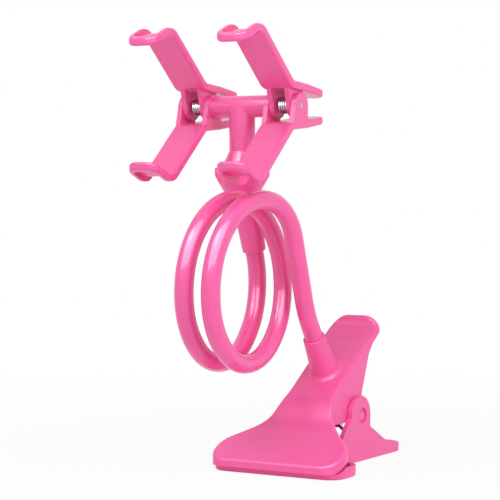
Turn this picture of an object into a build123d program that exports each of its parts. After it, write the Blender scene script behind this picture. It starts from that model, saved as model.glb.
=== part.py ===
from build123d import *
import os
from math import atan2, cos, degrees, radians, sin, tan

# Holder on a coiled gooseneck: a spring clamp, a bendable arm wound into two turns, a ball joint with
# a lock nut, and a head with two pairs of sprung jaws.
# Millimetres. X runs right along the clamp's front edge, Y runs back to its grips, Z is up.
# The origin is on the clamp's underside, below the middle of its pivot pin.
os.makedirs("parts", exist_ok=True)

# Clearances
running_fit = 0.05
seat_gap = 0.1
side_gap = 0.4
moving_gap = 0.3

# Clamp, seen from above
jaw_width = 72
jaw_reach = 67
upper_side_length = 15
lower_side_length = 22.5
lower_jaw_setback = 2.5
front_corner = 9
jaw_shoulder = 12
flare_length = 22
neck_hollow = 20
neck_width = 26.4
lower_grip_reach = 49
lower_grip_corner = 10.5
clamp_wall = 2.4

# Upper grip. Its plan is drawn on a plane that lies halfway between the neck and the turned-up end.
grip_width = 29
grip_flare_start = 40.1
grip_flare_end = 46.2
grip_flare_radius = 8
grip_length = 62.2
grip_corner = 10
groove_count = 4
groove_pitch = 2.4
groove_radius = 0.6
groove_depth = 0.3
groove_width = 17
first_groove = 50.4

# Clamp, seen from the side
clamp_plate = 2.6
pin_height = 23.3
front_height = 5.2
jaw_slope = 27.4
jaw_length = 29.7
step_slope = 55.4
step_length = 8
neck_slope = 33.5
neck_length = 52.1
grip_end_slope = 83.5
grip_end_length = 10
step_radius = 24
neck_radius = 28
grip_end_radius = 7.1
shoulder_radius = 1.6
plate_overrun = 3
skirt_front_edge = 2.9
skirt_side_edge = 6.4
skirt_side_rise = 1.4
skirt_neck_edge = 21
skirt_length = 53
skirt_rear_foot = 3.8
front_step = 3
upper_boss_radius = 8
lug_radius = 10.2
lug_offset = 2
rim_side_edge = 5.4
tail_height = 17
tail_end_height = 4.6
tail_end_run = 9
floor_rounding = 1.2

# Pivot pin and its recess
pin_diameter = 5
pin_recess_diameter = 8
pin_recess_depth = 1.1
pin_chamfer = 0.4

# Clamp spring. Both kinds of spring are drawn with a flat-sided wire.
wire_sides = 8
clamp_wire = 2
clamp_coil_radius = 6
clamp_coil_turns = 4
clamp_coil_pitch = 2.3
clamp_leg_angle = 30

# Clamp pads
pad_width = 46
pad_thickness = 1.6
pad_length = 13
pad_corner = 3
lower_pad_setback = 4
upper_pad_setback = 12

# Gooseneck
sleeve_diameter = 9.2
core_diameter = 6
coil_radius = 39.6
coil_pitch = 14.8
coil_centre_y = -68
coil_centre_z = 93.5
coil_first_top_x = -3.7
coil_corners_per_turn = 8
coil_corners = 13
coil_bend_radius = 38.8
rise_lean = 15
foot_run = 14
top_bend_radius = 26
foot_bend_radius = 45
head_bend_radius = 36

# Socket that holds the gooseneck on the clamp
socket_base_y = -10
socket_length = 21.7
socket_base_diameter = 14.4
socket_rim_diameter = 11.2
socket_floor = 1.8
socket_root_fillet = 2.5
socket_rim_rounding = 0.5
screw_diameter = 3
screw_head_diameter = 5.6
screw_head_height = 2.2
screw_length = 14

# Ball joint
ball_diameter = 14
head_x = -30.5
ball_y = -41.5
ball_z = 144.5
stem_lean = 17.5
stem_diameter = 5
stud_flange_diameter = 9
stud_flange = 1.6
collar_top = 17
collar_wall = 5
collar_length = 22
collar_top_diameter = 14
collar_rim_diameter = 11.8
collar_rounding = 1.5
stud_head_diameter = 7.6
stud_head = 2
stud_head_room = 3
nut_top_diameter = 27.5
nut_bottom_diameter = 18
nut_height = 12.5
nut_rim = 4
nut_rounding = 1
nut_above_ball = 4.5
nut_seat = 0.3
nut_lip_radius = 5.8
nut_mouth_radius = 7.5
nut_scallops = 6
nut_scallop_radius = 6
nut_scallop_depth = 2.8
cup_diameter = 18.4
cup_height = 7
cup_crown = 12.5
column_diameter = 13
column_crown = 4

# Holder head: two clips side by side, each with a fixed lower jaw and a hinged upper jaw
clip_spacing = 50.2
clip_width = 18
hinge_z = 179.2
jaw_web = 1.6
jaw_rim = 2.4
jaw_rim_width = 2.4
jaw_rounding = 1.2
jaw_overrun = 1.5
lip_corner = 6
lever_corner = 5
lever_reach = 25
lever_height = 4.3
knee_back = 6
knee_height = 7
knee_front = 8.5
knee_front_height = 8.2
groove_back = 37
groove_front = 40.5
groove_height = 33.2
lip_reach = 53.8
lip_height = 27.2
lever_bend = 12
arm_bend = 9
groove_bend = 3
hinge_eye_radius = 6.2
eye_wall = 2.5
hinge_pin_diameter = 2.6
crossbar_diameter = 11
clip_wire = 1.1
clip_coil_radius = 3.4
clip_coil_turns = 4
clip_coil_pitch = 1.25
clip_leg_angle = 14


def along(point, angle, length):
    """The point reached from a (y, z) point by going a length at an angle above level."""
    return (point[0] + length * cos(radians(angle)), point[1] + length * sin(radians(angle)))


def write(part, name):
    part.label = name
    export_step(part, f"parts/{name}.step")


# Side view of the upper clamp arm: the middle of its plate, from the front lip up to the grip
lip_front = (-jaw_reach, front_height)
plate_front = along(lip_front, jaw_slope, -plate_overrun)
plate_step = along(lip_front, jaw_slope, jaw_length / cos(radians(jaw_slope)))
plate_neck = along(plate_step, step_slope, step_length / cos(radians(step_slope)))
plate_grip = along(plate_neck, neck_slope, neck_length / cos(radians(neck_slope)))
plate_end = along(plate_grip, grip_end_slope, grip_end_length)
plate_bends = [step_radius, neck_radius, grip_end_radius]
with BuildLine() as plate_middle:
    FilletPolyline(plate_front, plate_step, plate_neck, plate_grip, plate_end, radius=plate_bends)
with BuildLine() as plate_top:
    add(plate_middle.line)
    offset(amount=clamp_plate / 2, side=Side.LEFT, mode=Mode.REPLACE, closed=False)

neck_normal = (-sin(radians(neck_slope)), cos(radians(neck_slope)))
grip_lean = (neck_slope + grip_end_slope) / 2
grip_normal = (0, -sin(radians(grip_lean)), cos(radians(grip_lean)))
grip_plane = Plane((0, *plate_neck), x_dir=(1, 0, 0), z_dir=grip_normal)
neck_start = jaw_reach - upper_side_length - flare_length
lower_reach = jaw_reach - lower_jaw_setback
cheek_inner = neck_width / 2 + side_gap
cheek_outer = cheek_inner + clamp_wall
clamp_jaw_bends = [front_corner, jaw_shoulder, neck_hollow]


def clamp_jaw_corners(front, side_length, neck_half):
    """Right half of the plan of a clamp jaw, from its front edge back to the neck."""
    jaw_half = jaw_width / 2
    return [(0, -front), (jaw_half, -front), (jaw_half, -front + side_length), (neck_half, -neck_start)]


# Upper clamp arm: the bent plate, its skirt, the two hinge cheeks and the gooseneck socket
def upper_space(inset):
    """Room within the sides of the upper arm: upright over the jaw, square to its plan over the grip."""
    neck_half = neck_width / 2
    grip_half = grip_width / 2
    with BuildPart() as space:
        with BuildSketch():
            with BuildLine():
                FilletPolyline(
                    *clamp_jaw_corners(jaw_reach, upper_side_length, neck_half),
                    (neck_half, 0),
                    radius=clamp_jaw_bends,
                )
                Polyline((neck_half, 0), (0, 0), (0, -jaw_reach))
            make_face()
            mirror(about=Plane.YZ)
            offset(amount=-inset, mode=Mode.REPLACE)
        extrude(amount=2 * plate_end[1])
        with BuildSketch(grip_plane):
            with BuildLine():
                FilletPolyline(
                    (neck_half, 0),
                    (neck_half, grip_flare_start),
                    (grip_half, grip_flare_end),
                    (grip_half, grip_length),
                    (0, grip_length),
                    radius=[grip_flare_radius, grip_flare_radius, grip_corner],
                )
                Polyline((0, grip_length), (0, 0), (neck_half, 0))
            make_face()
            mirror(about=Plane.YZ)
            offset(amount=-inset, mode=Mode.REPLACE)
        extrude(amount=plate_end[1], both=True)
    return space.part


skirt_rear = along(plate_neck, neck_slope, skirt_length)
lug_top = pin_height + lug_radius + moving_gap
with BuildPart() as upper_hollow:
    with BuildSketch(Plane.YZ):
        with BuildLine():
            FilletPolyline(plate_front, plate_step, plate_neck, skirt_rear, radius=plate_bends[:2])
            Polyline(skirt_rear, (skirt_rear[0], 0), (plate_front[0], 0), plate_front)
        make_face()
        trace(plate_middle.line, clamp_plate, mode=Mode.SUBTRACT)
    extrude(amount=jaw_width, both=True)
    add(upper_space(clamp_wall), mode=Mode.INTERSECT)

with BuildPart() as upper_cheeks:
    with BuildSketch(Plane.YZ):
        with BuildLine():
            Polyline(
                skirt_rear,
                (skirt_rear_foot, lug_top),
                (upper_boss_radius, pin_height),
                (0, pin_height - upper_boss_radius),
                (-upper_boss_radius, skirt_neck_edge),
                (-neck_start, skirt_neck_edge),
                plate_neck,
                close=True,
            )
        make_face()
        with Locations((0, pin_height)):
            Circle(upper_boss_radius)
    extrude(amount=neck_width / 2, both=True)
    with BuildSketch(Plane.YZ):
        Rectangle(4 * jaw_reach, 4 * jaw_reach)
    extrude(amount=neck_width / 2 - clamp_wall, both=True, mode=Mode.SUBTRACT)

socket_run = (socket_base_y - plate_neck[0]) / cos(radians(neck_slope))
socket_foot = along(along(plate_neck, neck_slope, socket_run), neck_slope + 90, clamp_plate / 2)
socket_plane = Plane((0, *socket_foot), x_dir=(1, 0, 0), z_dir=(0, *neck_normal))
socket_side = Plane((0, *socket_foot), x_dir=(1, 0, 0), z_dir=(0, -neck_normal[1], neck_normal[0]))
socket_bore = sleeve_diameter / 2 + seat_gap
socket_root = socket_base_diameter / 2 + socket_root_fillet


def on_plate_top(face):
    middle = face.center()
    return plate_top.wire().distance_to(Vector(middle.Y, middle.Z)) < running_fit


def rim(faces):
    """Edges that only one of some faces has: the rim of the patch that they make together."""
    edges = [edge for face in faces for edge in face.edges()]
    return [edge for edge in edges if sum(edge.is_same(other) for other in edges) == 1]


with BuildPart() as upper_clamp_arm:
    with BuildSketch(Plane.YZ):
        with BuildLine():
            FilletPolyline(plate_front, plate_step, plate_neck, skirt_rear, radius=plate_bends[:2])
            Polyline(
                skirt_rear,
                (skirt_rear_foot, lug_top),
                (-lug_radius, lug_top),
                (-lug_radius, skirt_neck_edge),
                (-neck_start, skirt_neck_edge),
                (-jaw_reach + upper_side_length, skirt_side_edge + skirt_side_rise),
                (-jaw_reach + front_corner, skirt_side_edge),
                (-jaw_reach + front_step, skirt_front_edge),
                (plate_front[0], skirt_front_edge),
                plate_front,
            )
        make_face()
        trace(plate_middle.line, clamp_plate)
    extrude(amount=jaw_width, both=True)
    add(upper_space(0), mode=Mode.INTERSECT)
    fillet(rim(upper_clamp_arm.faces().filter_by(on_plate_top)), radius=shoulder_radius)
    add(upper_hollow.part, mode=Mode.SUBTRACT)
    add(upper_cheeks.part)
    with BuildSketch(socket_side):
        with BuildLine():
            FilletPolyline(
                (socket_root + seat_gap, 0),
                (socket_base_diameter / 2, 0),
                (socket_rim_diameter / 2, socket_length),
                (0, socket_length),
                radius=[socket_root_fillet, socket_rim_rounding],
            )
            Polyline(
                (0, socket_length),
                (0, -clamp_plate / 2),
                (socket_root + seat_gap, -clamp_plate / 2),
                (socket_root + seat_gap, 0),
            )
        make_face()
    revolve(axis=Axis((0, *socket_foot), (0, *neck_normal)))
    with BuildSketch(socket_plane.offset(socket_floor)):
        Circle(socket_bore)
    extrude(amount=socket_length, mode=Mode.SUBTRACT)
    with BuildSketch(socket_plane.offset(socket_floor)):
        Circle(screw_diameter / 2 + seat_gap)
    extrude(amount=-2 * clamp_plate - socket_floor, mode=Mode.SUBTRACT)
    with BuildSketch(Plane.YZ):
        with Locations((0, pin_height)):
            Circle(pin_diameter / 2 + running_fit)
    extrude(amount=jaw_width, both=True, mode=Mode.SUBTRACT)
    with BuildSketch(Plane.YZ):
        for index in range(groove_count):
            ridge = along(plate_neck, neck_slope, first_groove + index * groove_pitch)
            with Locations(along(ridge, neck_slope + 90, clamp_plate / 2 + groove_radius - groove_depth)):
                Circle(groove_radius)
    extrude(amount=groove_width / 2, both=True, mode=Mode.SUBTRACT)

# Lower clamp arm: the flat floor, its rim, the outer cheeks with the pin's lugs
with BuildSketch() as lower_plan:
    with BuildLine():
        FilletPolyline(
            *clamp_jaw_corners(lower_reach, lower_side_length, cheek_outer),
            (cheek_outer, lower_grip_reach),
            (0, lower_grip_reach),
            radius=[*clamp_jaw_bends, lower_grip_corner],
        )
        Line((0, lower_grip_reach), (0, -lower_reach))
    make_face()
    mirror(about=Plane.YZ)

with BuildPart() as lower_clamp_arm:
    with BuildSketch(Plane.YZ):
        with BuildLine():
            Polyline(
                (-lower_reach, 0),
                (-lower_reach, clamp_plate),
                (-lower_reach + front_step, clamp_plate),
                (-lower_reach + front_corner, rim_side_edge),
                (-neck_start, rim_side_edge),
                (-lug_offset - lug_radius, pin_height),
                (-lug_offset + lug_radius, pin_height),
                (-lug_offset + lug_radius, tail_height),
                (lower_grip_reach / 2, tail_height / 2),
                (lower_grip_reach - tail_end_run, tail_end_height),
                (lower_grip_reach, tail_end_height),
                (lower_grip_reach, 0),
                close=True,
            )
        make_face()
        with Locations((-lug_offset, pin_height)):
            Circle(lug_radius)
    extrude(amount=jaw_width, both=True)
    with BuildSketch():
        add(lower_plan.sketch)
    extrude(amount=2 * pin_height, mode=Mode.INTERSECT)
    fillet(lower_clamp_arm.faces().sort_by(Axis.Z)[0].edges(), radius=floor_rounding)
    with BuildSketch(Plane.XY.offset(clamp_plate)):
        offset(lower_plan.sketch, amount=-clamp_wall)
    extrude(amount=2 * pin_height, mode=Mode.SUBTRACT)
    with BuildSketch(Plane.YZ):
        with Locations((0, pin_height)):
            Circle(pin_diameter / 2 + running_fit)
    extrude(amount=jaw_width, both=True, mode=Mode.SUBTRACT)
    for side in (-1, 1):
        with BuildSketch(Plane.YZ.offset(side * cheek_outer)):
            with Locations((0, pin_height)):
                Circle(pin_recess_diameter / 2)
        extrude(amount=-side * pin_recess_depth, mode=Mode.SUBTRACT)

# Pivot pin, flush with the floors of the recesses
with BuildPart() as clamp_pivot_pin:
    with BuildSketch(Plane.YZ):
        with Locations((0, pin_height)):
            Circle(pin_diameter / 2)
    extrude(amount=cheek_outer - pin_recess_depth / 2, both=True)
    chamfer(clamp_pivot_pin.edges().filter_by(GeomType.CIRCLE), length=pin_chamfer)

write(upper_clamp_arm.part, "upper_clamp_arm")
write(lower_clamp_arm.part, "lower_clamp_arm")
write(clamp_pivot_pin.part, "clamp_pivot_pin")


def torsion_spring(centre, radius, wire, turns, pitch, upper_angle, upper_leg, lower_angle, lower_leg):
    """Round wire wound about X, with one leg up to the upper arm and one down to the lower arm."""
    start = upper_angle + 90
    sweep_angle = (lower_angle - 90 - start) % 360 + 360 * (turns - 1)
    height = pitch * sweep_angle / 360
    base = Plane(
        Vector(*centre) - Vector(height / 2, 0, 0),
        x_dir=(0, cos(radians(start)), sin(radians(start))),
        z_dir=(1, 0, 0),
    )
    with BuildPart() as spring:
        with BuildLine() as path:
            winding = Helix(pitch, height, radius)
            Line(winding @ 0 - (winding % 0) * upper_leg, winding @ 0)
            Line(winding @ 1, winding @ 1 + (winding % 1) * lower_leg)
        with BuildSketch(Plane(path.wire() @ 0, z_dir=path.wire() % 0)):
            RegularPolygon(wire / 2, wire_sides)
        sweep(path=path.wire())
    return spring.part.moved(base.location)


# Clamp spring round the pivot pin, pushing the two grips apart
def leg_to_plate(plate_distance, radius, wire, angle):
    """Length of a leg that leaves the coil at an angle to a plate and ends with its side on it."""
    start_distance = plate_distance - radius * cos(radians(angle))
    return (start_distance - wire / 2 * cos(radians(angle)) - seat_gap) / sin(radians(angle))


upper_plate_distance = (
    plate_neck[0] * neck_normal[0] + (plate_neck[1] - pin_height) * neck_normal[1] - clamp_plate / 2
)
clamp_spring = torsion_spring(
    (0, 0, pin_height),
    clamp_coil_radius,
    clamp_wire,
    clamp_coil_turns,
    clamp_coil_pitch,
    neck_slope + clamp_leg_angle,
    leg_to_plate(upper_plate_distance, clamp_coil_radius, clamp_wire, clamp_leg_angle),
    -clamp_leg_angle,
    leg_to_plate(pin_height - clamp_plate, clamp_coil_radius, clamp_wire, clamp_leg_angle),
)
write(clamp_spring, "clamp_spring")

# Soft pads glued inside the two jaws
with BuildPart() as lower_jaw_pad:
    with BuildSketch(Plane.XY.offset(clamp_plate)):
        with Locations((0, -lower_reach + lower_pad_setback + pad_length / 2)):
            RectangleRounded(pad_width, pad_length, pad_corner)
    extrude(amount=pad_thickness)

jaw_face = Plane(
    (0, *along(lip_front, jaw_slope - 90, clamp_plate / 2)),
    x_dir=(1, 0, 0),
    z_dir=(0, sin(radians(jaw_slope)), -cos(radians(jaw_slope))),
)
with BuildPart() as upper_jaw_pad:
    with BuildSketch(jaw_face):
        with Locations((0, -upper_pad_setback - pad_length / 2)):
            RectangleRounded(pad_width, pad_length, pad_corner)
    extrude(amount=pad_thickness)

write(lower_jaw_pad.part, "lower_jaw_pad")
write(upper_jaw_pad.part, "upper_jaw_pad")

# Screw through the socket's floor into the end of the gooseneck's core
screw_seat = socket_plane.offset(-clamp_plate)
with BuildPart() as socket_screw:
    with BuildSketch(screw_seat):
        Circle(screw_head_diameter / 2)
    extrude(amount=-screw_head_height)
    chamfer(socket_screw.edges().filter_by(GeomType.CIRCLE), length=screw_head_height / 4)
    with BuildSketch(screw_seat):
        Circle(screw_diameter / 2)
    extrude(amount=screw_length)

write(socket_screw.part, "socket_screw")

# Middle line of the gooseneck: up out of the socket, over the top, two turns about a level axis, and up
# the back into the ball joint's collar
stem = (0, sin(radians(stem_lean)), -cos(radians(stem_lean)))
ball_centre = Vector(head_x, ball_y, ball_z)


def on_stem(distance):
    return ball_centre + Vector(*stem) * distance


corner_angle = 360 / coil_corners_per_turn
corner_radius = coil_radius / cos(radians(corner_angle / 2))


def coil_corner(index):
    """Corner of the polygon round the coil, counted from the first top towards the front."""
    angle = radians(corner_angle * (index + 0.5))
    return (
        coil_first_top_x - coil_pitch * (index + 0.5) / coil_corners_per_turn,
        coil_centre_y - corner_radius * sin(angle),
        coil_centre_z + corner_radius * cos(angle),
    )


sleeve_start = socket_plane.from_local_coords((0, 0, socket_floor))
foot_bend = socket_plane.from_local_coords((0, 0, socket_length + foot_run))
coil_top = coil_centre_z + coil_radius
top_bend = (
    coil_first_top_x / 2,
    foot_bend.Y - tan(radians(rise_lean)) * (coil_top - foot_bend.Z),
    coil_top,
)
last_angle = radians(corner_angle * coil_corners)
last_run = (-cos(last_angle), -sin(last_angle))
last_offset = (
    coil_centre_y - coil_radius * sin(last_angle) - ball_y,
    coil_centre_z + coil_radius * cos(last_angle) - ball_z,
)
head_bend = on_stem(
    (last_offset[0] * last_run[1] - last_offset[1] * last_run[0])
    / (stem[1] * last_run[1] - stem[2] * last_run[0])
)
sleeve_end = on_stem(collar_top + collar_wall + stud_head_room)
gooseneck_corners = [
    sleeve_start,
    foot_bend,
    top_bend,
    *[coil_corner(index) for index in range(coil_corners)],
    head_bend,
    sleeve_end,
]
gooseneck_bends = [
    foot_bend_radius,
    top_bend_radius,
    *[coil_bend_radius] * coil_corners,
    head_bend_radius,
]


def along_gooseneck(outer, inner):
    """A round wire or tube that follows the middle line of the gooseneck from end to end."""
    with BuildPart() as run:
        with BuildLine() as line:
            FilletPolyline(*gooseneck_corners, radius=gooseneck_bends)
        with BuildSketch(Plane(line.wire() @ 0, x_dir=(1, 0, 0), z_dir=line.wire() % 0)):
            Circle(outer / 2)
            if inner:
                Circle(inner / 2, mode=Mode.SUBTRACT)
        sweep(path=line.wire())
    return run.part


gooseneck_sleeve = along_gooseneck(sleeve_diameter, core_diameter + 2 * seat_gap)
write(gooseneck_sleeve, "gooseneck_sleeve")

core_blank = along_gooseneck(core_diameter, 0)
with BuildPart() as gooseneck_core:
    add(core_blank)
    with BuildSketch(screw_seat):
        Circle(screw_diameter / 2 + running_fit)
    extrude(amount=screw_length + seat_gap, mode=Mode.SUBTRACT)

write(gooseneck_core.part, "gooseneck_core")

# Ball joint. Along the stem, distances run down from the ball's middle.
stem_axis = Axis(ball_centre, stem)
stem_plane = Plane(ball_centre, x_dir=(1, 0, 0), z_dir=(0, -stem[2], stem[1]))
collar_end = collar_top + collar_length

with BuildPart() as neck_collar:
    with BuildSketch(stem_plane):
        with BuildLine():
            FilletPolyline(
                (stem_diameter / 2 + running_fit, collar_top),
                (collar_top_diameter / 2, collar_top),
                (collar_rim_diameter / 2, collar_end),
                (socket_bore, collar_end),
                radius=[collar_rounding, socket_rim_rounding],
            )
            Polyline(
                (socket_bore, collar_end),
                (socket_bore, collar_top + collar_wall),
                (stem_diameter / 2 + running_fit, collar_top + collar_wall),
                (stem_diameter / 2 + running_fit, collar_top),
            )
        make_face()
    revolve(axis=stem_axis)

write(neck_collar.part, "neck_collar")

with BuildPart() as ball_stud:
    with BuildSketch(stem_plane):
        with BuildLine():
            Polyline(
                (0, 0),
                (stem_diameter / 2, 0),
                (stem_diameter / 2, collar_top - seat_gap - stud_flange),
                (stud_flange_diameter / 2, collar_top - seat_gap - stud_flange),
                (stud_flange_diameter / 2, collar_top - seat_gap),
                (stem_diameter / 2, collar_top - seat_gap),
                (stem_diameter / 2, collar_top + collar_wall + seat_gap),
                (stud_head_diameter / 2, collar_top + collar_wall + seat_gap),
                (stem_diameter / 2, collar_top + collar_wall + seat_gap + stud_head),
                (0, collar_top + collar_wall + seat_gap + stud_head),
                close=True,
            )
        make_face()
    revolve(axis=stem_axis)
    with Locations(ball_centre):
        Sphere(ball_diameter / 2)

write(ball_stud.part, "ball_stud")

# Lock nut: a lobed cone that draws the ball up into the cup
head_plane = Plane(ball_centre, x_dir=(1, 0, 0), z_dir=(0, -1, 0))
head_axis = Axis(ball_centre, (0, 0, 1))
seat_radius = ball_diameter / 2 + seat_gap
lip_drop = (seat_radius**2 - nut_lip_radius**2) ** 0.5
nut_bottom = nut_above_ball - nut_height
nut_bore = cup_diameter / 2 + seat_gap
with BuildPart() as lock_nut:
    with BuildSketch(head_plane):
        with BuildLine():
            FilletPolyline(
                (0, nut_bottom),
                (nut_bottom_diameter / 2, nut_bottom),
                (nut_top_diameter / 2, nut_above_ball - nut_rim),
                (nut_top_diameter / 2, nut_above_ball),
                (0, nut_above_ball),
                radius=[nut_rounding, nut_rim, nut_rounding],
            )
            Line((0, nut_above_ball), (0, nut_bottom))
        make_face()
        with BuildLine():
            Polyline(
                (0, nut_bottom),
                (nut_mouth_radius, nut_bottom),
                (nut_lip_radius, -lip_drop),
                (0, -lip_drop),
                close=True,
            )
        make_face(mode=Mode.SUBTRACT)
        with BuildLine():
            Polyline(
                (0, nut_seat),
                (nut_bore, nut_seat),
                (nut_bore, nut_above_ball),
                (0, nut_above_ball),
                close=True,
            )
        make_face(mode=Mode.SUBTRACT)
    revolve(axis=head_axis)
    with Locations(ball_centre):
        Sphere(seat_radius, mode=Mode.SUBTRACT)
    with BuildSketch(Plane(ball_centre).offset(nut_bottom)):
        with PolarLocations(nut_top_diameter / 2 + nut_scallop_radius - nut_scallop_depth, nut_scallops):
            Circle(nut_scallop_radius)
    extrude(amount=nut_height, mode=Mode.SUBTRACT)

write(lock_nut.part, "lock_nut")

# Side view of a jaw, as (forward, up) from its hinge: the gripping face, from the thumb lever over the
# hinge and along the arm to the groove and its lip. Both ends run on, to be cut by the plan of the jaw.
lever_tip = (-lever_reach, lever_height)
lever_knee = (-knee_back, knee_height)
arm_knee = (knee_front, knee_front_height)
groove_start = (groove_back, groove_height)
groove_end = (groove_front, groove_height)
lip_tip = (lip_reach, lip_height)


def part_way(start, end, share):
    """The point at a share of the way between two points. A share over one lies past the second."""
    return tuple(first + share * (last - first) for first, last in zip(start, end))


jaw_line = [
    part_way(lever_knee, lever_tip, jaw_overrun),
    lever_knee,
    arm_knee,
    groove_start,
    groove_end,
    part_way(groove_end, lip_tip, jaw_overrun),
]
jaw_bends = [lever_bend, arm_bend, groove_bend, groove_bend]
clip_middles = {"left": head_x - clip_spacing / 2, "right": head_x + clip_spacing / 2}
upper, lower = 1, -1


def from_hinge(forward, height, way):
    """The (y, z) place of a point of a jaw, for an upper or a lower jaw."""
    return (ball_y - forward, hinge_z + way * height)


def jaw_slab(middle, inset, thickness, way):
    """A slab that follows the side view of a jaw, cut to the jaw's round-cornered plan less an inset."""
    front = ball_y - lip_reach
    back = ball_y + lever_reach
    half = clip_width / 2
    with BuildPart() as slab:
        with BuildSketch(Plane.YZ.offset(middle)):
            with BuildLine():
                FilletPolyline(*[from_hinge(*corner, way) for corner in jaw_line], radius=jaw_bends)
                offset(amount=thickness, side=Side.RIGHT if way == upper else Side.LEFT)
            make_face()
        extrude(amount=half, both=True)
        with BuildSketch(Plane((middle, 0, hinge_z))):
            with BuildLine():
                FilletPolyline(
                    (0, front), (half, front), (half, back), (0, back), radius=[lip_corner, lever_corner]
                )
                Line((0, back), (0, front))
            make_face()
            mirror(about=Plane.YZ)
            offset(amount=-inset, mode=Mode.REPLACE)
        extrude(amount=2 * lip_reach, both=True, mode=Mode.INTERSECT)
    return slab.part


def is_upright(face):
    return round(face.normal_at().Z, 3) == 0


def hinge_eyes(middle, inset, way):
    """The two round ears that carry a jaw on its pin, set in from the sides of the clip."""
    outside = clip_width / 2 - inset
    with BuildPart() as eyes:
        with BuildSketch(Plane.YZ.offset(middle)):
            with BuildLine():
                Polyline(
                    from_hinge(-hinge_eye_radius, 0, way),
                    from_hinge(-knee_back, knee_height + jaw_web / 2, way),
                    from_hinge(knee_front, knee_front_height + jaw_web / 2, way),
                    from_hinge(hinge_eye_radius, 0, way),
                    close=True,
                )
            make_face()
            with Locations(from_hinge(0, 0, way)):
                Circle(hinge_eye_radius)
        extrude(amount=outside, both=True)
        with BuildSketch(Plane.YZ.offset(middle)):
            with Locations(from_hinge(0, 0, way)):
                Circle(lever_reach)
        extrude(amount=outside - eye_wall, both=True, mode=Mode.SUBTRACT)
    return eyes.part


def clip_jaw(middle, eye_inset, way):
    """One jaw: a tray with a rim all round its outer side, and the hinge eyes."""
    with BuildPart() as tray:
        add(jaw_slab(middle, jaw_rim_width, jaw_web + jaw_rim + moving_gap, way))
        add(jaw_slab(middle, 0, jaw_web, way), mode=Mode.SUBTRACT)
    with BuildPart() as jaw:
        add(jaw_slab(middle, 0, jaw_web + jaw_rim, way))
        fillet(rim(jaw.faces().filter_by(is_upright)), radius=jaw_rounding)
        add(tray.part, mode=Mode.SUBTRACT)
        add(hinge_eyes(middle, eye_inset, way))
        with BuildSketch(Plane.YZ.offset(middle)):
            with Locations(from_hinge(0, 0, way)):
                Circle(hinge_pin_diameter / 2 + running_fit)
        extrude(amount=clip_width / 2, both=True, mode=Mode.SUBTRACT)
    return jaw.part


# Holder frame, one moulding: the ball's cup, a column, a crossbar and the two lower jaws
lower_jaws = [clip_jaw(middle, 0, lower) for middle in clip_middles.values()]
column_top = hinge_z - ball_z
with BuildPart() as holder_frame:
    with BuildSketch(head_plane):
        with BuildLine():
            Polyline(
                (0, nut_seat + moving_gap),
                (cup_diameter / 2, nut_seat + moving_gap),
                (cup_diameter / 2, cup_height),
                (column_diameter / 2, cup_crown),
                (column_diameter / 2, column_top),
                (column_diameter / 2 - column_crown, column_top + column_crown),
                (0, column_top + column_crown),
                close=True,
            )
        make_face()
    revolve(axis=head_axis)
    with Locations(ball_centre):
        Sphere(ball_diameter / 2 + seat_gap, mode=Mode.SUBTRACT)
    with BuildSketch(Plane.YZ.offset(head_x)):
        with Locations((ball_y, hinge_z)):
            Circle(crossbar_diameter / 2)
    extrude(amount=(clip_spacing - clip_width) / 2, both=True)
    add(lower_jaws)

write(holder_frame.part, "holder_frame")

# Upper jaws, their hinge pins and their closing springs
lever_slope = degrees(atan2(lever_height - knee_height, lever_reach - knee_back))
lever_distance = knee_height * cos(radians(lever_slope)) - knee_back * sin(radians(lever_slope))
clip_leg = leg_to_plate(lever_distance, clip_coil_radius, clip_wire, clip_leg_angle)
for side, middle in clip_middles.items():
    write(clip_jaw(middle, eye_wall + moving_gap, upper), f"{side}_upper_jaw")

    with BuildPart() as hinge_pin:
        with BuildSketch(Plane.YZ.offset(middle)):
            with Locations((ball_y, hinge_z)):
                Circle(hinge_pin_diameter / 2)
        extrude(amount=clip_width / 2 - seat_gap, both=True)
    write(hinge_pin.part, f"{side}_hinge_pin")

    clip_spring = torsion_spring(
        (middle, ball_y, hinge_z),
        clip_coil_radius,
        clip_wire,
        clip_coil_turns,
        clip_coil_pitch,
        lever_slope + clip_leg_angle,
        clip_leg,
        -lever_slope - clip_leg_angle,
        clip_leg,
    )
    write(clip_spring, f"{side}_clip_spring")
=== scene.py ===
from math import radians, tau

import bpy
from mathutils import Matrix, Vector


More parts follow.
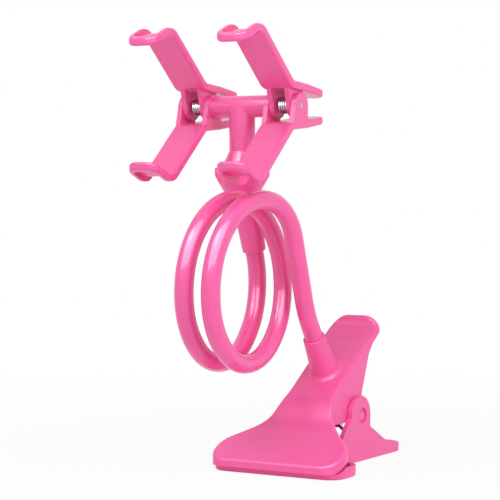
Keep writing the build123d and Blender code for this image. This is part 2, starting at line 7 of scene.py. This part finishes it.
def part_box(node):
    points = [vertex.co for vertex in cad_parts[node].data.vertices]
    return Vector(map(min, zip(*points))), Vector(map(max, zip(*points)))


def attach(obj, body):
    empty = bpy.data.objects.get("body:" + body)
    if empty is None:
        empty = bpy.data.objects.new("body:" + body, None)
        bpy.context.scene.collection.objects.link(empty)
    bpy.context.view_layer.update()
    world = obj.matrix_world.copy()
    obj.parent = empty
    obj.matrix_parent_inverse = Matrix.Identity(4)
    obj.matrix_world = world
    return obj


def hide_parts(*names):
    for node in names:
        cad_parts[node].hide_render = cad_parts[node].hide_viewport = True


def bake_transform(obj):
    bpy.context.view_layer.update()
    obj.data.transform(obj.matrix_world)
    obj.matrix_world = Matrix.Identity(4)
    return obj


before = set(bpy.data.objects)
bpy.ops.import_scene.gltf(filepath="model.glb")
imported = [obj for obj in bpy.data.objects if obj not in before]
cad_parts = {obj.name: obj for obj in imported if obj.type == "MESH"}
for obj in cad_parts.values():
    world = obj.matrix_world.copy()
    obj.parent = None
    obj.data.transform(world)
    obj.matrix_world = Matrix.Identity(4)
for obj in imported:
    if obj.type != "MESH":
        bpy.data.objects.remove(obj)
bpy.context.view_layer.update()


# Lower clamp arm. One injection moulding: a flat floor with a rim round it and two lugs for the pivot pin.
# It is satin dyed plastic, a little uneven in dye and shine, with the faint waves that cooling leaves.
class Reading:
    """A value in a node tree. Sums, products and the like add the Math nodes that they need."""

    def __init__(self, bench, socket):
        self.bench = bench
        self.socket = socket

    def __add__(self, other):
        return self.bench.maths("ADD", self, other)

    __radd__ = __add__

    def __sub__(self, other):
        return self.bench.maths("SUBTRACT", self, other)

    def __rsub__(self, other):
        return self.bench.maths("SUBTRACT", other, self)

    def __mul__(self, other):
        return self.bench.maths("MULTIPLY", self, other)

    __rmul__ = __mul__

    def __truediv__(self, other):
        return self.bench.maths("DIVIDE", self, other)

    def __rtruediv__(self, other):
        return self.bench.maths("DIVIDE", other, self)


class Bench:
    """A node tree whose nodes all come from make. A list of readings goes into one socket together."""

    def __init__(self, tree):
        self.tree = tree
        self.tree.nodes.clear()

    def make(self, kind, settings, sockets, output=0):
        """A new node: its settings are set first, then its sockets. One of its outputs is the reading."""
        node = self.tree.nodes.new(kind)
        for key, value in settings.items():
            setattr(node, key, value)
        for key, value in sockets.items():
            for entry in value if isinstance(value, list) else [value]:
                if isinstance(entry, Reading):
                    self.tree.links.new(entry.socket, node.inputs[key])
                else:
                    node.inputs[key].default_value = entry
        return Reading(self, node.outputs[output]) if node.outputs else None

    def maths(self, operation, *values):
        """A Math node on readings and numbers."""
        return self.make("ShaderNodeMath", {"operation": operation}, dict(enumerate(values)))


class Finish(Bench):
    """A material, with the few readings that the finishes of the holder are mixed from."""

    def __init__(self, name):
        self.material = bpy.data.materials.new(name)
        self.material.use_nodes = True
        super().__init__(self.material.node_tree)
        self.place = self.make("ShaderNodeTexCoord", {}, {}, "Object")

    def cloud(self, per_metre, detail, shares=(1, 1, 1)):
        """Soft random patches, as a value about a half. A low share draws them out along its axis."""
        place = self.make("ShaderNodeMapping", {}, {"Vector": self.place, "Scale": shares})
        return self.make("ShaderNodeTexNoise", {}, {"Vector": place, "Scale": per_metre, "Detail": detail})

    def blend(self, share, first, second):
        """A colour between two, by the share of the second."""
        factor, colour_a, colour_b, colour_out = 0, 6, 7, 2
        sockets = {factor: share, colour_a: first, colour_b: second}
        return self.make("ShaderNodeMix", {"data_type": "RGBA"}, sockets, colour_out)

    def dent(self, height, depth):
        """Relief for the Normal socket. Where the height is one, it stands proud by the depth in metres."""
        return self.make("ShaderNodeBump", {}, {"Height": height, "Strength": 1, "Distance": depth})

    def shade(self, sockets):
        """The finished material, from the sockets of its shader."""
        surface = self.make("ShaderNodeBsdfPrincipled", {}, sockets)
        self.make("ShaderNodeOutputMaterial", {}, {"Surface": surface})
        return self.material


dye = (0.89, 0.112, 0.37, 1)
dense_dye = (0.85, 0.095, 0.338, 1)


def moulding(name, dullness, lacquer, flow):
    """Dyed plastic from a polished mould. Dye and shine are drawn out where the flow's share is low."""
    plastic = Finish(name)
    streaks = plastic.cloud(per_metre=60, detail=3, shares=flow)
    patches = plastic.cloud(per_metre=120, detail=2, shares=flow)
    waves = plastic.cloud(per_metre=45, detail=1)
    peel = plastic.cloud(per_metre=600, detail=2)
    wave_depth = 0.0002
    peel_share = 0.008
    patch_dullness = 0.12
    patch_wear = 0.5
    return plastic.shade({
        "Base Color": plastic.blend(streaks, dense_dye, dye),
        "Roughness": dullness + patch_dullness * patches,
        "Normal": plastic.dent(waves + peel_share * peel, wave_depth),
        "Coat Weight": lacquer - patch_wear * lacquer * patches,
        "Coat Roughness": 0.2,
        "Specular IOR Level": 0.4,
    })


def dress(material, *names):
    """Gives a finish to pieces that keep their shape."""
    for name in names:
        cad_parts[name].material_slots[0].material = material


clamp_plastic = moulding("clamp_plastic", dullness=0.32, lacquer=0.1, flow=(1, 0.12, 0.3))
dress(clamp_plastic, "lower_clamp_arm")

# Upper clamp arm. The other half of the clamp, in the same plastic: a bent plate with a skirt, a turned-up
# grip for the thumb and a socket for the gooseneck, all in one moulding.
dress(clamp_plastic, "upper_clamp_arm")

# Pivot pin and clamp spring. A steel pin, enamelled to match the clamp and pressed through the four cheeks,
# and about it a wound spring of drawn and plated wire that keeps the jaws shut. One leg lies under the upper
# arm and turns with it, and the other lies on the lower arm.
pin_enamel = moulding("pin_enamel", dullness=0.2, lacquer=0.5, flow=(1, 1, 1))
dress(pin_enamel, "clamp_pivot_pin")

steel = Finish("plated_steel")
draw_lines = steel.cloud(per_metre=1500, detail=3, shares=(0.1, 1, 1))
mottle = steel.cloud(per_metre=300, detail=4)
grey_plating = (0.44, 0.45, 0.47, 1)
bright_plating = (0.6, 0.6, 0.62, 1)
draw_line_depth = 0.00002
plated_steel = steel.shade({
    "Base Color": steel.blend(mottle, grey_plating, bright_plating),
    "Metallic": 1.0,
    "Roughness": 0.2 + 0.2 * draw_lines,
    "Normal": steel.dent(draw_lines, draw_line_depth),
})


def put(name, data):
    """A new object in the scene."""
    thing = bpy.data.objects.new(name, data)
    bpy.context.scene.collection.objects.link(thing)
    return thing


class Shaper(Bench):
    """A Geometry Nodes tree whose inputs are named: sizes in metres, angles in radians and whole counts."""

    def __init__(self, name, sizes):
        super().__init__(bpy.data.node_groups.new(name, "GeometryNodeTree"))
        self.sizes = sizes
        for size, value in sizes.items():
            kind = "NodeSocketInt" if isinstance(value, int) else "NodeSocketFloat"
            self.tree.interface.new_socket(size, in_out="INPUT", socket_type=kind)
        self.tree.interface.new_socket("Geometry", in_out="OUTPUT", socket_type="NodeSocketGeometry")
        self.given = {size: self.make("NodeGroupInput", {}, {}, size) for size in sizes}

    def vector(self, **sides):
        """A vector from its X, Y and Z. A side that isn't given is zero."""
        return self.make("ShaderNodeCombineXYZ", {}, sides)

    def circle(self, radius, sides=14):
        """The section of a round bar."""
        return self.make("GeometryNodeCurvePrimitiveCircle", {}, {"Resolution": sides, "Radius": radius})

    def bar(self, line, section):
        """A solid bar along a line, closed at its ends."""
        sockets = {"Curve": line, "Profile Curve": section, "Fill Caps": True}
        return self.make("GeometryNodeCurveToMesh", {}, sockets)

    def end(self, geometry, material):
        """Closes the tree with the finished shape in its material."""
        realized = self.make("GeometryNodeRealizeInstances", {}, {"Geometry": geometry})
        finished = self.make("GeometryNodeSetMaterial", {}, {"Geometry": realized, "Material": material})
        self.make("NodeGroupOutput", {}, {"Geometry": finished})

    def piece(self, name, place, changes=None):
        """The shape as a plain mesh, with its place put into it. Some sizes may be changed for it."""
        sizes = {**self.sizes, **(changes or {})}
        piece = put(name, bpy.data.meshes.new(name))
        modifier = piece.modifiers.new("shape", "NODES")
        modifier.node_group = self.tree
        for socket in self.tree.interface.items_tree:
            if socket.in_out == "INPUT":
                modifier[socket.identifier] = sizes[socket.name]
        shaped = piece.evaluated_get(bpy.context.evaluated_depsgraph_get())
        mesh = bpy.data.meshes.new_from_object(shaped)
        piece.modifiers.clear()
        mesh.transform(place)
        mesh.shade_smooth()
        sharp_edge = radians(35)
        mesh.set_sharp_from_angle(angle=sharp_edge)
        piece.data = mesh
        return piece


clamp_spring = {
    "Coil Radius": 0.006,
    "Wire": 0.002,
    "Pitch": 0.0023,
    "First Leg": 0.03225,
    "Last Leg": 0.02908,
}
spring = Shaper("wound_spring", {**clamp_spring, "Winding": 3 * tau, "Steps": 260})
coil_radius, winding = spring.given["Coil Radius"], spring.given["Winding"]
first_leg, last_leg = spring.given["First Leg"], spring.given["Last Leg"]

# The turn counts along the wire: below zero on the first leg, up to the winding on the coil, above it on the
# last leg. The legs go on straight from where the coil begins and ends.
wire_length = first_leg + coil_radius * winding + last_leg
way_along = spring.make("GeometryNodeInputIndex", {}, {}) / (spring.given["Steps"] - 1)
turn = (way_along * wire_length - first_leg) / coil_radius
wound = spring.maths("MINIMUM", spring.maths("MAXIMUM", turn, 0), winding)
straight = turn - wound
cosine = spring.maths("COSINE", wound)
sine = spring.maths("SINE", wound)
drawn_wire = spring.make("GeometryNodeResampleCurve", {}, {
    "Curve": spring.make("GeometryNodeCurvePrimitiveLine", {}, {}),
    "Count": spring.given["Steps"],
})
wound_wire = spring.make("GeometryNodeSetPosition", {}, {
    "Geometry": drawn_wire,
    "Position": spring.vector(
        X=coil_radius * (cosine - straight * sine),
        Y=coil_radius * (sine + straight * cosine),
        Z=spring.given["Pitch"] * (wound - 0.5 * winding) / tau,
    ),
})
spring.end(spring.bar(wound_wire, spring.circle(0.5 * spring.given["Wire"])), plated_steel)


def middle_of(*names):
    """The middle of one piece, or of several."""
    corners = [Vector(corner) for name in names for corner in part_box(name)]
    return sum(corners, Vector()) / len(corners)


def put_spring(name, pin, upper_leg, lower_leg, turns, sizes):
    """A spring on a pin, wound from a leg at one angle to a leg at another."""
    middle = middle_of(pin)
    along_pin = Vector((1, 0, 0))
    outward = Matrix.Rotation(radians(upper_leg + 90), 3, "X") @ Vector((0, 1, 0))
    winding_frame = Matrix((outward, along_pin.cross(outward), along_pin)).transposed().to_4x4()
    sweep = (lower_leg - upper_leg - 180) % 360 + 360 * (turns - 1)
    changes = {**sizes, "Winding": radians(sweep)}
    wire = spring.piece(name + "_wire", Matrix.Translation(middle) @ winding_frame, changes)
    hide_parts(name)
    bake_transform(wire)


put_spring(
    "clamp_spring",
    pin="clamp_pivot_pin",
    upper_leg=63.5,
    lower_leg=-30,
    turns=4,
    sizes=clamp_spring,
)

# Clamp pads. Two strips of soft rubber glued inside the jaws, with a row of low ribs so that they don't
# slip on a shelf. Each is moulded in one piece, ribs and all.
rubber = Finish("pad_rubber")
bloom = rubber.cloud(per_metre=400, detail=4)
grain = rubber.cloud(per_metre=2600, detail=3)
clean_rubber = (0.6, 0.075, 0.24, 1)
dusty_rubber = (0.72, 0.11, 0.31, 1)
grain_depth = 0.00006
pad_rubber = rubber.shade({
    "Base Color": rubber.blend(bloom, clean_rubber, dusty_rubber),
    "Roughness": 0.6 + 0.25 * bloom,
    "Normal": rubber.dent(grain, grain_depth),
})


class RibShaper(Shaper):
    """A tree for ribs: bars along X, in rows about the middle."""

    def level(self, length):
        """A line along X, about the middle."""
        sockets = {"Start": self.vector(X=-0.5 * length), "End": self.vector(X=0.5 * length)}
        return self.make("GeometryNodeCurvePrimitiveLine", {}, sockets)

    def rounded_box(self, width, height, radius, corner_steps):
        """A rectangle with round corners."""
        box = self.make("GeometryNodeCurvePrimitiveQuadrilateral", {}, {"Width": width, "Height": height})
        sockets = {"Curve": box, "Radius": radius, "Count": corner_steps}
        return self.make("GeometryNodeFilletCurve", {"mode": "POLY"}, sockets)

    def lift(self, geometry, height):
        """A shape, moved up."""
        sockets = {"Geometry": geometry, "Translation": self.vector(Z=height)}
        return self.make("GeometryNodeTransform", {}, sockets)

    def row(self, part, count, side, pitch):
        """Copies of a part, next to each other along one side, about the middle."""
        first = self.vector(**{side: -0.5 * pitch * (count - 1)})
        sockets = {"Count": count, "Start Location": first, "Offset": self.vector(**{side: pitch})}
        spots = self.make("GeometryNodeMeshLine", {}, sockets)
        return self.make("GeometryNodeInstanceOnPoints", {}, {"Points": spots, "Instance": part})

    def join(self, *parts):
        """Several shapes as one."""
        return self.make("GeometryNodeJoinGeometry", {}, {"Geometry": list(parts)})


pad = RibShaper("ribbed_pad", {
    "Width": 0.046,
    "Length": 0.013,
    "Body": 0.0012,
    "Corner": 0.003,
    "Rib Count": 5,
    "Rib Pitch": 0.0023,
    "Rib Radius": 0.0004,
})
pad_width, pad_corner, pad_body = pad.given["Width"], pad.given["Corner"], pad.given["Body"]
pad_edge = pad.rounded_box(pad_width, pad.given["Length"], pad_corner, corner_steps=8)
sheet = pad.make("GeometryNodeFillCurve", {"mode": "NGONS"}, {"Curve": pad_edge})
raised = pad.make("GeometryNodeExtrudeMesh", {}, {"Mesh": sheet, "Offset Scale": pad_body})
glued_face = pad.make("GeometryNodeFlipFaces", {}, {"Mesh": sheet})
seam = 0.00001
shell = pad.join(raised, glued_face)
strip = pad.make("GeometryNodeMergeByDistance", {}, {"Geometry": shell, "Distance": seam})
pad_rib = pad.bar(pad.level(pad_width - 2 * pad_corner), pad.circle(pad.given["Rib Radius"]))
pad_ribs = pad.row(pad_rib, pad.given["Rib Count"], "Y", pad.given["Rib Pitch"])
pad.end(pad.join(strip, pad.lift(pad_ribs, pad_body)), pad_rubber)

# Each pad's glued face lies against its jaw, and its ribs face the shelf.
pad_height = pad.sizes["Body"] + pad.sizes["Rib Radius"]
jaw_slope = radians(27.4)
pad_places = {"lower": ("base", 0), "upper": ("neck", radians(180) + jaw_slope)}
for jaw, (carrier, tilt) in pad_places.items():
    facing = Matrix.Rotation(tilt, 4, "X")
    glued_at = middle_of(f"{jaw}_jaw_pad") - facing @ Vector((0, 0, pad_height / 2))
    ribbed_pad = pad.piece(f"{jaw}_ribbed_pad", Matrix.Translation(glued_at) @ facing)
    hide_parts(f"{jaw}_jaw_pad")
    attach(ribbed_pad, carrier)

# Socket screw. A plated steel screw, driven from below through the floor of the socket into the end of the
# gooseneck's core, so that the arm can't pull out.
dress(plated_steel, "socket_screw")

# Gooseneck. A soft aluminium wire in a glossy vinyl sleeve, bent by hand into two turns. The sleeve is
# extruded, so its shine is faintly wavy and a little uneven.
aluminium = Finish("soft_wire")
tarnish = aluminium.cloud(per_metre=500, detail=3)
scuffs = aluminium.cloud(per_metre=900, detail=3)
dull_metal = (0.62, 0.62, 0.64, 1)
bright_metal = (0.75, 0.75, 0.77, 1)
soft_wire = aluminium.shade({
    "Base Color": aluminium.blend(tarnish, dull_metal, bright_metal),
    "Metallic": 1.0,
    "Roughness": 0.35 + 0.15 * scuffs,
})
dress(soft_wire, "gooseneck_core")

vinyl = Finish("glossy_vinyl")
dye_patches = vinyl.cloud(per_metre=30, detail=3)
smears = vinyl.cloud(per_metre=90, detail=1)
sleeve_waves = vinyl.cloud(per_metre=70, detail=1)
sleeve_peel = vinyl.cloud(per_metre=600, detail=2)
sleeve_peel_share = 0.01
sleeve_wave_depth = 0.00012
sleeve_vinyl = vinyl.shade({
    "Base Color": vinyl.blend(dye_patches, dense_dye, dye),
    "Roughness": 0.16 + 0.12 * smears,
    "Normal": vinyl.dent(sleeve_waves + sleeve_peel_share * sleeve_peel, sleeve_wave_depth),
    "Coat Weight": 0.4 - 0.3 * smears,
    "Coat Roughness": 0.08,
    "Specular IOR Level": 0.4,
})
dress(sleeve_vinyl, "gooseneck_sleeve")

# Ball joint. A moulded collar on the end of the gooseneck holds a steel stud, and a scalloped nut draws the
# holder's cup on to the stud's ball.
joint_plastic = moulding("joint_plastic", dullness=0.28, lacquer=0.15, flow=(0.3, 0.3, 1))
dress(joint_plastic, "neck_collar", "lock_nut")
dress(plated_steel, "ball_stud")

# Holder frame. The cup, the column, the bar and the two fixed lower jaws, in one moulding, glossier than the
# clamp. Each clip's plated steel pin is pressed through its ears and carries a wound spring.
holder_plastic = moulding("holder_plastic", dullness=0.22, lacquer=0.3, flow=(0.25, 1, 0.25))
dress(holder_plastic, "holder_frame")
dress(plated_steel, "left_hinge_pin", "right_hinge_pin")
clip_spring = {
    "Coil Radius": 0.0034,
    "Wire": 0.0011,
    "Pitch": 0.00125,
    "First Leg": 0.01588,
    "Last Leg": 0.01588,
}
for side in ("left", "right"):
    put_spring(
        f"{side}_clip_spring",
        pin=f"{side}_hinge_pin",
        upper_leg=5.9,
        lower_leg=-5.9,
        turns=4,
        sizes=clip_spring,
    )

# Upper jaws. Two rimmed trays that swing on the clips' pins, each with a thumb lever behind its pin, in the
# same plastic as the frame.
dress(holder_plastic, "left_upper_jaw", "right_upper_jaw")

# Thumb ribs. Round-topped bars across the trays of the four levers, moulded in one with them. They stand a
# little lower than the rims and keep the thumb from slipping.
both_pins = ("left_hinge_pin", "right_hinge_pin")
left_pin_end, right_pin_end = [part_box(pin)[0][0] for pin in both_pins]
bars = RibShaper("thumb_ribs", {
    "Levers": 1,
    "Lever Spacing": right_pin_end - left_pin_end,
    "Rib Count": 4,
    "Rib Pitch": 0.0026,
    "Rib Length": 0.0134,
    "Rib Height": 0.0021,
    "Rib Width": 0.0011,
    "Foot": 0.0003,
})
bar_width, bar_foot = bars.given["Rib Width"], bars.given["Foot"]
bar_height = bars.given["Rib Height"] + bar_foot
bar_rounding = 0.45 * bar_width
bar_section = bars.rounded_box(bar_width, bar_height, bar_rounding, corner_steps=4)
bar = bars.bar(bars.level(bars.given["Rib Length"]), bar_section)
seated_bar = bars.lift(bar, 0.5 * bar_height - bar_foot)
lever_bars = bars.row(seated_bar, bars.given["Rib Count"], "Y", bars.given["Rib Pitch"])
all_bars = bars.row(lever_bars, bars.given["Levers"], "X", bars.given["Lever Spacing"])
bars.end(all_bars, holder_plastic)

lever_tilt = radians(8.1)
ribs_behind_pin = 0.0169
ribs_from_pin = 0.00706


def above_pin(pin):
    """The middle of the tray on an upper lever."""
    spot = middle_of(pin) + Vector((0, ribs_behind_pin, ribs_from_pin))
    return Matrix.Translation(spot) @ Matrix.Rotation(-lever_tilt, 4, "X")


def below_pins(*pins):
    """The middle between the trays on the lower levers, which face down."""
    spot = middle_of(*pins) + Vector((0, ribs_behind_pin, -ribs_from_pin))
    return Matrix.Translation(spot) @ Matrix.Rotation(radians(180) + lever_tilt, 4, "X")


thumb_ribs = {
    "left_jaw": bars.piece("left_thumb_ribs", above_pin("left_hinge_pin")),
    "right_jaw": bars.piece("right_thumb_ribs", above_pin("right_hinge_pin")),
    "holder": bars.piece("lower_thumb_ribs", below_pins(*both_pins), {"Levers": 2}),
}
for carrier, ribs in thumb_ribs.items():
    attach(ribs, carrier)

# Studio. A white paper floor and a white backdrop, a soft lamp high in front, a weaker one on the right that
# adds no gloss, and a large card that shows in the gloss alone. The camera is at the photograph's angle.
floor_reach = 4
floor_corners = [(-1, -1, 0), (1, -1, 0), (1, 1, 0), (-1, 1, 0)]
floor_mesh = bpy.data.meshes.new("floor")
floor_mesh.from_pydata([Vector(corner) * floor_reach for corner in floor_corners], [], [(0, 1, 2, 3)])
floor = put("floor", floor_mesh)
white = (1, 1, 1, 1)


def seen_directly(bench):
    """One for what is seen, in gloss and through clear things too, and zero for what lights the holder."""
    kinds = ["Is Camera Ray", "Is Glossy Ray", "Is Transmission Ray"]
    camera_ray, glossy_ray, passing_ray = [bench.make("ShaderNodeLightPath", {}, {}, kind) for kind in kinds]
    return camera_ray + glossy_ray + passing_ray


# The paper glows a little less near the clamp, so that the shadow shows there.
paper = Finish("white_paper")
paper_white = (0.92, 0.92, 0.92, 1)
shadow_start, shadow_end = 0.1, 0.5
near_glow = 0.88
bare = paper.make("ShaderNodeBsdfDiffuse", {}, {"Color": paper_white})
glow = paper.make("ShaderNodeEmission", {}, {"Color": white, "Strength": 1})
from_clamp = paper.make("ShaderNodeVectorMath", {"operation": "LENGTH"}, {0: paper.place}, "Value")
far = paper.make("ShaderNodeMapRange", {"interpolation_type": "SMOOTHSTEP"}, {
    "Value": from_clamp,
    "From Min": shadow_start,
    "From Max": shadow_end,
})
evenness = near_glow + (1 - near_glow) * far
shown = paper.make("ShaderNodeMixShader", {}, {0: evenness * seen_directly(paper), 1: bare, 2: glow})
paper.make("ShaderNodeOutputMaterial", {}, {"Surface": shown})
floor_mesh.materials.append(paper.material)

world = bpy.data.worlds.new("studio")
bpy.context.scene.world = world
world.use_nodes = True
room = Bench(world.node_tree)
room_level = 0.54
room_light = room.make("ShaderNodeBackground", {}, {"Color": white, "Strength": room_level})
backdrop = room.make("ShaderNodeBackground", {}, {"Color": white, "Strength": 1})
around = room.make("ShaderNodeMixShader", {}, {0: seen_directly(room), 1: room_light, 2: backdrop})
room.make("ShaderNodeOutputWorld", {}, {"Surface": around})

aim = Vector((-0.02, -0.03, 0.1))


def soft_lamp(name, bearing, height, distance, size, power):
    """A lamp turned to the holder. Its bearing is to the right of straight in front, in degrees."""
    light = bpy.data.lights.new(name, "AREA")
    light.shape = "RECTANGLE"
    light.size, light.size_y = size
    light.energy = power
    lamp = put(name, light)
    turned = Matrix.Rotation(radians(bearing), 4, "Z") @ Matrix.Rotation(radians(90 - height), 4, "X")
    lamp.matrix_world = Matrix.Translation(aim) @ turned @ Matrix.Translation((0, 0, distance))
    return lamp


soft_lamp("key_lamp", bearing=-6, height=50, distance=1.2, size=(0.9, 0.4), power=6.2)
side_lamp = soft_lamp("side_lamp", bearing=80, height=18, distance=1.1, size=(0.5, 0.8), power=4.4)
side_lamp.visible_glossy = False
gloss_card = soft_lamp("gloss_card", bearing=18, height=42, distance=1.3, size=(2.4, 1.3), power=75)
gloss_card.visible_diffuse = False

camera_data = bpy.data.cameras.new("camera")
camera_data.lens = 132.84
camera_data.sensor_width = 36
camera = put("camera", camera_data)
camera.location = (0.4475, -0.8295, 0.140)
camera.rotation_euler = (radians(88), 0, radians(31))
bpy.context.scene.camera = camera
bpy.context.scene.view_settings.view_transform = "Standard"
